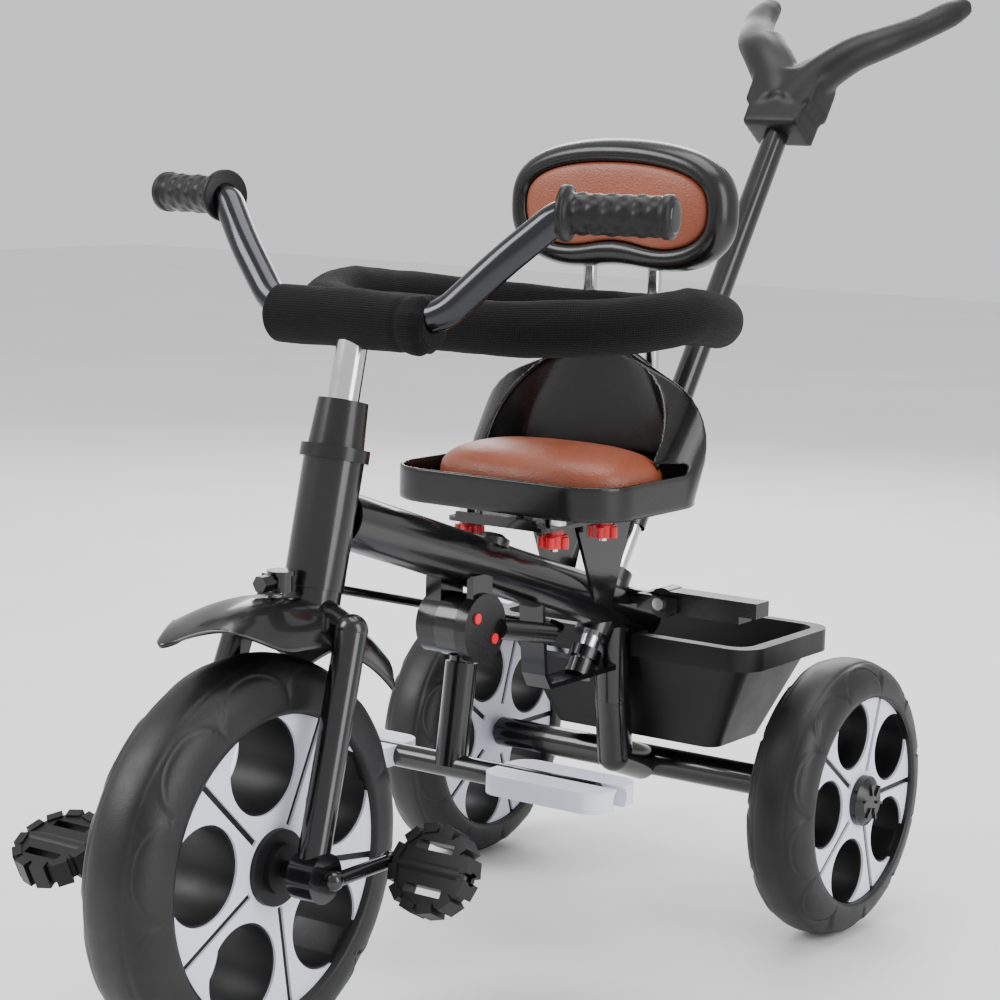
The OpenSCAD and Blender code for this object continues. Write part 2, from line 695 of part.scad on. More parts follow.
bar_mid_y = axis_y0 + bar_z * tan(rake);
function bar_points(s) = [[s * 0, bar_mid_y, bar_z], [s * 72, bar_mid_y - 1, bar_z + 2],
    [s * 111, bar_mid_y + 12, bar_z + 41], [s * 146, bar_mid_y + 31, bar_z + 75],
    [s * (146 + grip_l), bar_mid_y + 31 + 20 * grip_l / 82, bar_z + 75]];
module handlebar() {
    color([0.12, 0.12, 0.12]) placed() for (s = [-1, 1]) bent(bar_points(s), bar_d / 2);
}
module bar_cover() {
    color([0.03, 0.03, 0.03]) placed() difference() {
        rod([-72, bar_mid_y, bar_z - 3], [64, bar_mid_y, bar_z - 3], 21);
        for (s = [-1, 1]) bent(bar_points(s), bar_d / 2 + 0.15);
        on_steering() translate([0, 0, on_axis(stem_foot)]) cylinder(h = on_axis(bar_z) - on_axis(stem_foot), r = bar_d / 2, $fn = 48);
    }
}
module grips() {
    color([0.04, 0.04, 0.04]) placed() for (s = [-1, 1]) {
        p = bar_points(s)[3];
        q = bar_points(s)[4];
        v = (q - p) / norm(q - p);
        difference() {
            union() {
                rod(p + 3 * v, q + 3 * v, 13.5);
                rod(p + 1 * v, p + 6 * v, 19);
            }
            bent(bar_points(s), bar_d / 2);
        }
    }
}

// ---------- Push pole and steering linkage ----------

rod_front = [rod_x, crown_y + 13 * sin(rake), crown_lo + 1 + 13 * cos(rake)];
rod_rear = [rod_x, pole_foot.y + (crank_z + 12 - pole_foot.z) * tan(pole_lean), crank_z + 12];
module steering_rod() {
    color([0.07, 0.07, 0.07]) placed() {
        v = (rod_rear - rod_front) / norm(rod_rear - rod_front);
        difference() {
            union() {
                rod(rod_front + 5 * v, rod_rear - 6.5 * v, 3.5);
                translate(rod_front) rotate([-rake, 0, 0]) cylinder(h = 5, r = 7, center = true, $fn = 48);
                translate(rod_rear) rotate([-pole_lean, 0, 0]) difference() {
                    cylinder(h = 5, r = 8.5, center = true, $fn = 48);
                    cylinder(h = 7, r = 6, center = true, $fn = 48);
                }
            }
            translate(rod_front) rotate([-rake, 0, 0]) cylinder(h = 9, r = 3 + run_fit, center = true, $fn = 48);
        }
    }
}
module steering_crank() {
    color([0.3, 0.3, 0.3]) placed() on_push_pole() {
        z0 = on_pole(crank_z) - 10;
        difference() {
            union() {
                translate([0, 0, z0]) cylinder(h = 9, r = 13, $fn = 64);
                translate([rod_x, -6, z0 + 1]) cube([-rod_x, 12, 4]);
                translate([rod_x, 0, z0 + 1]) cylinder(h = 4, r = 6, $fn = 48);
                translate([rod_x, 0, z0 + 1]) cylinder(h = 22, r = 2.5, $fn = 48);
            }
            translate([0, 0, z0 - 1]) cylinder(h = 12, r = pole_d / 2, $fn = 64);
        }
    }
}
inner_top = 430;
module pole_inner() {
    color("silver") placed() on_push_pole()
        translate([0, 0, -9.7]) cylinder(h = on_pole(inner_top) + 9.7, r = pole_d / 2, $fn = 64);
}
module pole_upper() {
    color([0.06, 0.06, 0.06]) placed() on_push_pole() difference() {
        translate([0, 0, on_pole(upper_pole_z)]) cylinder(h = on_pole(handle_z + 26) - on_pole(upper_pole_z), r = upper_pole_d / 2, $fn = 64);
        translate([0, 0, on_pole(upper_pole_z) - 1]) cylinder(h = on_pole(inner_top) - on_pole(upper_pole_z) + 46, r = pole_d / 2 + run_fit, $fn = 64);
        translate([0, -upper_pole_d / 2, on_pole(upper_pole_z) + 16]) rotate([90, 0, 0]) cylinder(h = 20, r = 4 + run_fit, center = true, $fn = 48);
    }
}
module pole_latch() {
    color([0.02, 0.02, 0.02]) placed() on_push_pole() translate([0, -upper_pole_d / 2, on_pole(upper_pole_z) + 16])
        rotate([90, 0, 0]) translate([0, 0, -0.6]) cylinder(h = 5, r = 4, $fn = 48);
}

// Push handle: a box on the pole's top with two horns that sweep out, back and up
module push_handle() {
    tip_r = 12.5;
    root = [0, pole_foot.y + (handle_z - pole_foot.z) * tan(pole_lean), handle_z];
    color([0.04, 0.04, 0.04]) placed() difference() {
        union() {
            on_push_pole() translate([0, 0, on_pole(handle_z) + 2]) {
                translate([-27, -19, 0]) cube([54, 38, 44]);
                translate([-35, -17, 30]) cube([70, 36, 26]);
            }
            for (s = [-1, 1]) bent([root + [s * 18, 28, 44], root + [s * 44, 48, 68],
                [s * 72, 262, 714], [s * (handle_w / 2 - tip_r), handle_rear - tip_r, 740]], tip_r);
            for (s = [-1, 1]) translate([s * (handle_w / 2 - tip_r), handle_rear - tip_r, 740])
                sphere(r = tip_r + 0.3, $fn = 48);
        }
        on_push_pole() cylinder(h = on_pole(handle_z + 26), r = upper_pole_d / 2, $fn = 64);
        on_push_pole() for (z = [16, 32]) translate([0, -17, on_pole(handle_z) + 2 + z]) rotate([90, 0, 0])
            cylinder(h = 6, r = 4.2, $fn = 48);
    }
}
module handle_screws() {
    color("silver") placed() on_push_pole() for (z = [16, 32])
        translate([0, -17, on_pole(handle_z) + 2 + z]) rotate([90, 0, 0]) difference() {
            cylinder(h = 1.6, r = 4.2, $fn = 48);
            translate([0, 0, 1.6]) cube([5, 1, 1.4], center = true);
            translate([0, 0, 1.6]) cube([1, 5, 1.4], center = true);
        }
}

// ---------- Basket and rear pegs ----------

basket_front = -60;
basket_top = 228;
rim_h = 18;
function basket_mid() = basket_front + basket_depth / 2;
module basket_body(inset, z0, z1) {
    // Tapered tub: narrower by 48 mm a side and 34 mm front and back at its foot
    hull() {
        translate([0, basket_mid(), z1 - 0.1]) round_slab(basket_w - 12 - 2 * inset, basket_depth - 12 - 2 * inset, 0.1, 16);
        translate([0, basket_mid() + 4, z0]) round_slab(basket_w - 100 - 2 * inset, basket_depth - 62 - 2 * inset, 0.1, 12);
    }
}
// Recess in the front wall, round the frame's post
notch_w = post_d + 7;
notch_rear = -41;
module notch(grow) {
    translate([-notch_w / 2 - grow, basket_front - 20, basket_top - 66 - grow])
        cube([notch_w + 2 * grow, notch_rear - basket_front + 20 + grow, 80]);
}
module basket() {
    foot = basket_top - basket_h;
    color([0.03, 0.03, 0.035]) placed() difference() {
        union() {
            basket_body(0, foot, basket_top - 2);
            translate([0, basket_mid(), basket_top - rim_h]) round_slab(basket_w, basket_depth, rim_h, 22);
        }
        difference() {
            basket_body(basket_wall, foot + basket_wall, basket_top + 6);
            notch(basket_wall);
        }
        notch(0);
        rod(tube_front, tube_end, main_d / 2 + gap);
        translate([0, basket_mid(), basket_top - rim_h - 1]) difference() {
            round_slab(basket_w - 5, basket_depth - 5, rim_h - 2, 20);
            round_slab(basket_w - 20, basket_depth - 20, rim_h - 2, 16);
        }
    }
}

peg_pivot = [52, -60, 259];
peg_len = 85;
peg_t = 20;
module peg_tube() {
    color([0.06, 0.06, 0.06]) placed() difference() {
        union() {
            rod([-peg_pivot.x + 17, peg_pivot.y, peg_pivot.z], [peg_pivot.x - 17, peg_pivot.y, peg_pivot.z], 6);
            for (s = [-1, 1]) for (y = [-1, 1])
                translate([s * (peg_pivot.x - 2), peg_pivot.y + y * (peg_t / 2 + 2.3), peg_pivot.z]) {
                    cube([36, 4, 12], center = true);
                }
            for (s = [-1, 1]) translate([s * (peg_pivot.x - 18), peg_pivot.y, peg_pivot.z])
                cube([5, peg_t + 8.6, 12], center = true);
        }
        rod(tube_front, tube_end, main_d / 2);
        on_push_pole() cylinder(h = 200, r = socket_d / 2 + 0.2, $fn = 48);
        for (s = [-1, 1]) rod([s * peg_pivot.x, peg_pivot.y - 30, peg_pivot.z],
            [s * peg_pivot.x, peg_pivot.y + 30, peg_pivot.z], 3);
    }
}
module peg_bolts() {
    reach = peg_t / 2 + 4.3;
    color("silver") placed() for (s = [-1, 1]) {
        rod([s * peg_pivot.x, peg_pivot.y - reach, peg_pivot.z], [s * peg_pivot.x, peg_pivot.y + reach, peg_pivot.z], 3);
        rod([s * peg_pivot.x, peg_pivot.y - reach - 2.5, peg_pivot.z], [s * peg_pivot.x, peg_pivot.y - reach, peg_pivot.z], 5);
    }
}
// Fold-up peg: a flat bar with a round lobe at its pivot
module rear_peg(side) {
    color([0.04, 0.04, 0.04]) placed() translate(peg_pivot - [side > 0 ? 0 : 2 * peg_pivot.x, 0, 0]) difference() {
        union() {
            rod([0, -peg_t / 2, 0], [0, peg_t / 2, 0], 12);
            translate([side > 0 ? 0 : -peg_len, -peg_t / 2, -2]) cube([peg_len, peg_t, 12]);
            translate([side * 40 - 30, -peg_t / 2, -8]) cube([60, peg_t, 10]);
        }
        rod([0, -30, 0], [0, 30, 0], 3 + run_fit);
    }
}

// ---------- Footrest ----------

module footrest_bracket() {
    color([0.05, 0.05, 0.05]) placed() difference() {
        union() {
            translate([barrel_lo + 2, barrel_y - 14, barrel_z]) cube([barrel_turn_lo - barrel_lo - 3, 28, 40]);
            translate([barrel_turn_hi + 1, barrel_y - 12, barrel_z]) cube([6, 24, 40]);
        }
        rod(tube_front, tube_end, main_d / 2);
        disc_x((barrel_lo + barrel_turn_lo) / 2, barrel_y, barrel_z, barrel_d / 2, 30);
        disc_x(barrel_turn_hi + 5, barrel_y, barrel_z, barrel_d / 2 + 3, 20);
    }
}
// The barrel has a fixed part, a turning part that carries the post, and a fixed side plate
barrel_turn_lo = -9;
barrel_turn_hi = 11;
barrel_pin_d = 12;
stay_r = 8;
stay_from = [19.6, barrel_y + 18, barrel_z - 3];
stay_to = [15, -174, tube_z(-174) - 39];
button_r = 4;
button_dy = 11;
button_dz = -9;
module footrest_barrel() {
    color([0.05, 0.05, 0.05]) placed() difference() {
        union() {
            disc_x((barrel_lo + barrel_turn_lo) / 2, barrel_y, barrel_z, barrel_d / 2, barrel_turn_lo - barrel_lo);
            disc_x((barrel_turn_hi + barrel_hi) / 2, barrel_y, barrel_z, barrel_d / 2 + 3, barrel_hi - barrel_turn_hi);
            disc_x((barrel_lo + barrel_hi) / 2, barrel_y, barrel_z, barrel_pin_d / 2, barrel_hi - barrel_lo);
            rod(stay_from, stay_to, stay_r);
        }
        for (side = [-1, 1]) disc_x(barrel_hi, barrel_y + side * button_dy, barrel_z + side * button_dz,
            button_r + run_fit, 7);
    }
}
module footrest_arm() {
    post_r = 12;
    post_x_mid = (barrel_turn_lo + barrel_turn_hi) / 2;
    cross_z = barrel_z - footrest_drop;
    color([0.05, 0.05, 0.05]) placed() difference() {
        union() {
            disc_x(post_x_mid, barrel_y, barrel_z, barrel_d / 2 + 1, barrel_turn_hi - barrel_turn_lo - 2 * gap);
            rod([post_x_mid, barrel_y - 1, barrel_z - barrel_d / 2 - 4.5], [post_x_mid, barrel_y - 12, cross_z], post_r);
            rod([post_x_mid, barrel_y, barrel_z - 10], [post_x_mid, barrel_y - 1, barrel_z - barrel_d / 2 - 5], 9);
            rod([-footrest_w / 2 + 20, barrel_y - 12, cross_z], [footrest_w / 2 - 20, barrel_y - 12, cross_z], 9);
        }
        disc_x(0, barrel_y, barrel_z, barrel_pin_d / 2 + run_fit, 80);
    }
}
module footrest_mats() {
    cross_z = barrel_z - footrest_drop;
    color("white") placed() for (s = [-1, 1])
        translate([s * (footrest_w / 2 - 52), barrel_y - 12, cross_z]) difference() {
            translate([0, 0, -7]) round_slab(104, 58, 15, 16);
            rod([-80, 0, 0], [80, 0, 0], 9);
        }
}
module footrest_button(side) {
    color("red") placed() disc_x(barrel_hi, barrel_y + side * button_dy, barrel_z + side * button_dz, button_r, 3);
}

main_tube();
head_tube();
head_bushes();
collars();
rear_frame();
rear_axle();
tube_cap();
pole_socket();
pole_bracket();
seat_bracket();
seat_base_plate();
footrest_bracket();
footrest_barrel();
backrest_posts();
backrest_shell();
backrest_pad();
guard_ring();
basket();
peg_tube();
peg_bolts();
seat_shell();
seat_pad();
seat_bolts();
seat_knob(0);  // seat_knob_1
seat_knob(1);  // seat_knob_2
seat_knob(2);  // seat_knob_3
seat_knob(3);  // seat_knob_4
fork();
fender();
fender_bolt();
stem();
stem_sleeve();
handlebar();
bar_cover();
grips();
steering_rod();
steering_crank();
pole_inner();
pole_upper();
pole_latch();
push_handle();
handle_screws();
front_tyre();
front_wheel();
front_plates();
crank_axle();
pedal(1, 62);  // pedal_left
pedal(-1, 25);  // pedal_right
rear_wheel(1);  // rear_wheel_left
rear_plates(1);  // rear_plates_left
rear_cap(1);  // rear_cap_left
rear_wheel(-1);  // rear_wheel_right
rear_plates(-1);  // rear_plates_right
rear_cap(-1);  // rear_cap_right
footrest_arm();
footrest_mats();
footrest_button(-1);  // footrest_button_1
footrest_button(1);  // footrest_button_2
rear_peg(1);  // peg_left
rear_peg(-1);  // peg_right
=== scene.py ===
"""Looks of the children's tricycle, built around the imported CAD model.

Lengths are in metres in the CAD frame. at(x, y, z) takes millimetres with y counted from the rear axle,
as the part's source does, so that a piece here can be placed by the same numbers.
"""

import json
import math

import bmesh
import bpy
from mathutils import Matrix, Vector, noise


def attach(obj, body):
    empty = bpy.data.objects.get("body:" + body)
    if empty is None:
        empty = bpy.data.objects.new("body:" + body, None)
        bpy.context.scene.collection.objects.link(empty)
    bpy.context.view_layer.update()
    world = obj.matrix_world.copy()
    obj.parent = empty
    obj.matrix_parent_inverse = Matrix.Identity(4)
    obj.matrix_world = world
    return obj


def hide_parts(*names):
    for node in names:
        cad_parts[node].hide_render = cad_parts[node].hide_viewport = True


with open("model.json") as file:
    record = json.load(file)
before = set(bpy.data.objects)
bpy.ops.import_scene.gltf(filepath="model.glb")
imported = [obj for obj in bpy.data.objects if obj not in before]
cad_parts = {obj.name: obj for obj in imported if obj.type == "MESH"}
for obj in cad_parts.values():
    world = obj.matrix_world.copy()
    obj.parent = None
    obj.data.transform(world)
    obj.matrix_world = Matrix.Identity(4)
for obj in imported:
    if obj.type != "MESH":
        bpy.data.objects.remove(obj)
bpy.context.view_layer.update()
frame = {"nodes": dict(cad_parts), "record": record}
NODES = frame["nodes"]

# ---------- Places shared with the CAD model ----------
MM = 0.001
SHIFT_Y = 156.5
AXLE_Y = -509.0
FRONT_R = 140.0
FRONT_OPENING_R = 103.5
FRONT_TYRE_W = 60
REAR_R = 110
REAR_OPENING_R = 82.5
REAR_TYRE_W = 52
REAR_X = 176
RAKE = math.radians(13.2)
AXIS_Y0 = AXLE_Y - 6.4
POLE_LEAN = math.radians(34)


def at(x, y, z):
    """A point given in millimetres from the rear axle's middle, on the ground."""
    return Vector((x, y + SHIFT_Y, z)) * MM


# ---------- Materials ----------
NOISE_ROUGHNESS = 0.6


class Shader:
    """A node material with a principled shader, and short names for the nodes it needs."""

    def __init__(self, name, base, rough, **sockets):
        self.mat = bpy.data.materials.new(name)
        self.mat.use_nodes = True
        self.nodes = self.mat.node_tree.nodes
        self.links = self.mat.node_tree.links
        self.bsdf = self.nodes["Principled BSDF"]
        self.set("Base Color", (*base, 1))
        self.set("Roughness", rough)
        for key, value in sockets.items():
            self.set(key.replace("_", " "), value)
        self.coords = self.nodes.new("ShaderNodeTexCoord")

    def set(self, socket, value):
        self.bsdf.inputs[socket].default_value = value

    def noise(self, scale, detail=3, stretch=(1, 1, 1)):
        node = self.nodes.new("ShaderNodeTexNoise")
        node.inputs["Scale"].default_value = scale
        node.inputs["Detail"].default_value = detail
        node.inputs["Roughness"].default_value = NOISE_ROUGHNESS
        self.link(self.mapped("Object", stretch), node.inputs["Vector"])
        return node.outputs["Fac"]

    def cells(self, scale):
        node = self.nodes.new("ShaderNodeTexVoronoi")
        node.inputs["Scale"].default_value = scale
        self.link(self.mapped("Object", (1, 1, 1)), node.inputs["Vector"])
        return node.outputs["Distance"]

    def mapped(self, coords, stretch):
        node = self.nodes.new("ShaderNodeMapping")
        node.inputs["Scale"].default_value = stretch
        self.link(self.coords.outputs[coords], node.inputs["Vector"])
        return node.outputs["Vector"]

    def link(self, a, b):
        self.links.new(a, b)

    def maths(self, kind, a, b):
        node = self.nodes.new("ShaderNodeMath")
        node.operation = kind
        for socket, value in zip(node.inputs, (a, b)):
            if isinstance(value, (int, float)):
                socket.default_value = value
            else:
                self.link(value, socket)
        return node.outputs[0]

    def ramp(self, fac, stops):
        node = self.nodes.new("ShaderNodeValToRGB")
        ramp = node.color_ramp
        ramp.elements[0].position, ramp.elements[0].color = stops[0][0], (*stops[0][1], 1)
        ramp.elements[1].position, ramp.elements[1].color = stops[-1][0], (*stops[-1][1], 1)
        for place, colour in stops[1:-1]:
            ramp.elements.new(place).color = (*colour, 1)
        self.link(fac, node.inputs["Fac"])
        return node.outputs["Color"]

    def vary(self, fac, low, high):
        """Colour that drifts between low and high with fac."""
        self.link(self.ramp(fac, [(0.3, low), (0.7, high)]), self.bsdf.inputs["Base Color"])

    def rough(self, fac, low, high):
        node = self.nodes.new("ShaderNodeMapRange")
        node.inputs["From Min"].default_value = 0.3
        node.inputs["From Max"].default_value = 0.7
        node.inputs["To Min"].default_value = low
        node.inputs["To Max"].default_value = high
        self.link(fac, node.inputs["Value"])
        self.link(node.outputs[0], self.bsdf.inputs["Roughness"])

    def bump(self, fac, strength, distance):
        node = self.nodes.new("ShaderNodeBump")
        node.inputs["Strength"].default_value = strength
        node.inputs["Distance"].default_value = distance
        self.link(fac, node.inputs["Height"])
        self.link(node.outputs[0], self.bsdf.inputs["Normal"])


def gloss_paint():
    s = Shader("gloss_paint", (0.004, 0.004, 0.0045), 0.2, Coat_Weight=0.35, Coat_Roughness=0.05,
               Specular_IOR_Level=0.45)
    s.rough(s.noise(14), 0.16, 0.26)
    s.bump(s.noise(90, 2), 0.06, 0.0006)
    return s.mat


def moulded(name, low, high, rough, scale=900, strength=0.12, coat=0.0, shine=0.3):
    """Moulded plastic: a fine grain, and a colour and gloss that drift a little."""
    s = Shader(name, low, rough[0], Coat_Weight=coat, Coat_Roughness=0.12, Specular_IOR_Level=shine)
    s.vary(s.noise(11, 3), low, high)
    s.rough(s.noise(26, 4), *rough)
    s.bump(s.noise(scale, 2), strength, 0.0003)
    return s.mat


def metal(name, colour, rough, brushed=(1, 1, 1)):
    s = Shader(name, colour, rough, Metallic=1.0)
    s.rough(s.noise(60, 4, stretch=brushed), rough * 0.7, rough * 1.4)
    s.bump(s.noise(160, 3, stretch=brushed), 0.05, 0.0003)
    return s.mat


def leather():
    s = Shader("red_brown_leather", (0.3, 0.07, 0.03), 0.42, Coat_Weight=0.08, Coat_Roughness=0.35)
    s.vary(s.noise(17, 4), (0.22, 0.052, 0.022), (0.29, 0.072, 0.031))
    s.rough(s.noise(40, 3), 0.38, 0.5)
    grain = s.maths("ADD", s.cells(620), s.maths("MULTIPLY", s.noise(260, 4), 0.6))
    s.bump(grain, 0.35, 0.0006)
    return s.mat


def knit():
    """Black knit on a padded tube: rows of stitches round and along it, from the tube's UVs, with painted
    shade darkening the hollows between the stitches.
    """
    s = Shader("black_knit", (0.004, 0.004, 0.0045), 0.85, Sheen_Weight=0.04, Sheen_Roughness=0.5,
               Specular_IOR_Level=0.12)
    rows = []
    for direction, distortion in (("X", 1.2), ("Y", 0.6)):
        node = s.nodes.new("ShaderNodeTexWave")
        node.bands_direction = direction
        node.inputs["Scale"].default_value = 1.0
        node.inputs["Distortion"].default_value = distortion
        s.link(s.mapped("UV", (1, 1, 1)), node.inputs["Vector"])
        rows.append(node.outputs["Fac"])
    stitches = s.maths("MULTIPLY", *rows)
    fuzz = s.maths("MULTIPLY", s.noise(900, 3), 0.5)
    s.bump(s.maths("ADD", stitches, fuzz), 0.8, 0.0009)
    # Painted shade: the base colour follows the stitch relief, darker in the hollows between stitches and
    # lighter on the raised stitches.
    colour = s.ramp(stitches, [(0.0, (0.002, 0.002, 0.0024)), (1.0, (0.011, 0.011, 0.012))])
    s.link(colour, s.bsdf.inputs["Base Color"])
    return s.mat


def foam_rubber():
    s = Shader("foam_tyre", (0.006, 0.006, 0.0065), 0.45, Specular_IOR_Level=0.4)
    s.vary(s.noise(30, 4), (0.004, 0.004, 0.0045), (0.009, 0.009, 0.0095))
    s.rough(s.noise(45, 4), 0.38, 0.5)
    s.bump(s.noise(700, 4), 0.3, 0.0005)
    return s.mat


PAINT = gloss_paint()
GLOSS = moulded("gloss_black_plastic", (0.005, 0.005, 0.0055), (0.008, 0.008, 0.009), (0.22, 0.32), 500, 0.06,
                0.1, 0.4)
SATIN = moulded("satin_black_plastic", (0.005, 0.005, 0.0055), (0.009, 0.009, 0.0095), (0.38, 0.5), 1100, 0.2)
WHITE = moulded("white_plastic", (0.70, 0.70, 0.84), (0.78, 0.78, 0.90), (0.32, 0.44), 700, 0.08)
RED = moulded("red_plastic", (0.62, 0.012, 0.02), (0.72, 0.02, 0.03), (0.24, 0.34), 700, 0.05, 0.2)
RUBBER = moulded("grip_rubber", (0.004, 0.004, 0.0045), (0.008, 0.008, 0.009), (0.36, 0.48), 1300, 0.2)
STEEL = metal("bright_steel", (0.66, 0.66, 0.68), 0.16)
GUNMETAL = metal("gunmetal_tube", (0.05, 0.05, 0.055), 0.17)
LEATHER = leather()
KNIT = knit()
TYRE = foam_rubber()

SLOT_LOOKS = {
    "frame_paint": PAINT, "black_plastic": GLOSS, "matt_plastic": SATIN, "steel": STEEL, "leather": LEATHER,
    "knit": KNIT, "foam_tyre": TYRE, "white_plastic": WHITE, "red_plastic": RED, "grip_rubber": RUBBER,
    "dark_steel": GUNMETAL,
}
slot_of = {row["node"]: row["material_slot"] for row in frame["record"]["subparts"]}
# Two steel nodes that are painted black
BLACKENED = ("crank_axle", "fender_bolt")
for name, node in NODES.items():
    node.data.materials.clear()
    node.data.materials.append(PAINT if name in BLACKENED else SLOT_LOOKS[slot_of[name]])

# ---------- Mesh helpers ----------


def new_piece(name, verts, faces, material, body, stands_for=(), uvs=None):
    """A mesh piece that rides on a CAD body. uvs, where given, hold one (u, v) for each vertex."""
    mesh = bpy.data.meshes.new(name)
    mesh.from_pydata([tuple(v) for v in verts], [], faces)
    mesh.validate()
    bm = bmesh.new()
    bm.from_mesh(mesh)
    bmesh.ops.recalc_face_normals(bm, faces=bm.faces)
    bm.to_mesh(mesh)
    bm.free()
    mesh.materials.append(material)
    if uvs:
        layer = mesh.uv_layers.new(name="UVMap")
        for loop in mesh.loops:
            layer.data[loop.index].uv = uvs[loop.vertex_index]
    mesh.polygons.foreach_set("use_smooth", [True] * len(mesh.polygons))
    obj = bpy.data.objects.new(name, mesh)
    bpy.context.scene.collection.objects.link(obj)
    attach(obj, body)
    if stands_for:
        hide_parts(*stands_for)
    return obj


def add(obj, kind, **settings):
    modifier = obj.modifiers.new(kind.lower(), kind)
    for key, value in settings.items():
        setattr(modifier, key, value)
    return modifier


def apply_all(obj):
    """Turns a piece's modifiers into its mesh."""
    graph = bpy.context.evaluated_depsgraph_get()
    mesh = bpy.data.meshes.new_from_object(obj.evaluated_get(graph))
    obj.modifiers.clear()
    obj.data = mesh
    mesh.polygons.foreach_set("use_smooth", [True] * len(mesh.polygons))
    return obj


def grid_faces(rows, columns, close_rows=False, close_columns=False):
    """Quads of a grid of vertices, that closes on itself in either direction if asked."""
    faces = []
    for i in range(rows if close_rows else rows - 1):
        for j in range(columns if close_columns else columns - 1):
            a, b = i * columns + j, i * columns + (j + 1) % columns
            c, d = ((i + 1) % rows) * columns + (j + 1) % columns, ((i + 1) % rows) * columns + j
            faces.append((a, b, c, d))
    return faces


def smooth_path(points, steps, closed=False):
    """Catmull-Rom curve through the points."""
    n = len(points)
    out = []
    spans = n if closed else n - 1
    for i in range(spans):
        def pick(k):
            return points[k % n] if closed else points[min(max(k, 0), n - 1)]
        p0, p1, p2, p3 = (Vector(pick(i + k)) for k in (-1, 0, 1, 2))
        for step in range(steps):
            t = step / steps
            out.append(0.5 * (2 * p1 + (p2 - p0) * t + (2 * p0 - 5 * p1 + 4 * p2 - p3) * t ** 2
                              + (3 * p1 - p0 - 3 * p2 + p3) * t ** 3))
    if not closed:
        out.append(Vector(points[-1]))
    return out


STITCH = 0.0032
STITCHED_RADIUS = 0.02
STITCHES_ROUND = 0.6


def tube_mesh(path, radius, sides=24, closed=False, up=Vector((0, 0, 1)), relief=None, flat=1.0):
    """Tube along a path: vertices, faces and UVs in stitches.

    radius is a number or a function of the share of the length, and relief(length, angle) adds to it.
    flat squeezes the section along the up direction.
    """
    round_uv = 2 * math.pi * STITCHED_RADIUS / STITCH * STITCHES_ROUND
    n = len(path)
    lengths = [0.0]
    for a, b in zip(path, path[1:]):
        lengths.append(lengths[-1] + (b - a).length)
    total = lengths[-1] + ((path[0] - path[-1]).length if closed else 0)
    verts, uvs = [], []
    for i, p in enumerate(path):
        ahead = path[(i + 1) % n] if closed or i < n - 1 else p
        behind = path[i - 1] if closed or i > 0 else p
        along = (ahead - behind).normalized()
        side = along.cross(up).normalized()
        top = side.cross(along).normalized()
        share = lengths[i] / total
        r = radius(share) if callable(radius) else radius
        for j in range(sides):
            a = 2 * math.pi * j / sides
            extra = relief(lengths[i], a) if relief else 0
            verts.append(p + side * (r + extra) * math.cos(a) + top * (r * flat + extra) * math.sin(a))
            uvs.append((lengths[i] / STITCH, min(j, sides - j) / sides * round_uv))
    faces = grid_faces(n, sides, close_rows=closed, close_columns=True)
    if not closed:
        faces.append(tuple(range(sides - 1, -1, -1)))
        faces.append(tuple((n - 1) * sides + j for j in range(sides)))
    return verts, faces, uvs


def revolve(profile, steps, relief=None):
    """Turns a closed profile of (radius, x) round the X axis. relief(radius, x, angle) adds to both."""
    verts = []
    for i in range(steps):
        a = 2 * math.pi * i / steps
        for r, x in profile:
            push = relief(r, x, a) if relief else (0, 0)
            verts.append(Vector((x + push[1], (r + push[0]) * math.cos(a), (r + push[0]) * math.sin(a))))
    return verts, grid_faces(steps, len(profile), close_rows=True, close_columns=True)


def melt(name, parts, material, body, stands_for, voxel, passes):
    """Joins overlapping closed meshes into one moulded piece with softened corners."""
    verts, faces = [], []
    for v, f in parts:
        start = len(verts)
        verts += list(v)
        faces += [tuple(i + start for i in face) for face in f]
    obj = new_piece(name, verts, faces, material, body, stands_for)
    obj.parent = None
    add(obj, "REMESH", mode="VOXEL", voxel_size=voxel, use_smooth_shade=True)
    add(obj, "SMOOTH", factor=0.5, iterations=passes)
    apply_all(obj)
    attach(obj, body)
    return obj


def box_mesh(centre, size, turn):
    """Closed box as (vertices, faces), turned about its centre."""
    corners = [Vector((sx, sy, sz)) for sz in (-1, 1) for sy in (-1, 1) for sx in (-1, 1)]
    half = Vector(size) / 2
    verts = [centre + turn @ Vector((c.x * half.x, c.y * half.y, c.z * half.z)) for c in corners]
    faces = [(0, 2, 3, 1), (4, 5, 7, 6), (0, 1, 5, 4), (2, 6, 7, 3), (0, 4, 6, 2), (1, 3, 7, 5)]
    return verts, faces


def superellipse(a, b, n, count):
    """Points of a rounded rectangle with half sizes a and b."""
    out = []
    for i in range(count):
        t = 2 * math.pi * i / count
        c, s = math.cos(t), math.sin(t)
        out.append((a * math.copysign(abs(c) ** (2 / n), c), b * math.copysign(abs(s) ** (2 / n), s)))
    return out


# ---------- Tyres ----------
TYRE_PETALS = 11
PETAL_RISE = 1.1 * MM
GROOVE = 1.9 * MM
SEAM = 0.8 * MM
SEAM_SIDE = 0.52
TYRE_STEPS = 420
SECTION_STEPS = 64
SECTION_POWER = 2 / 2.5


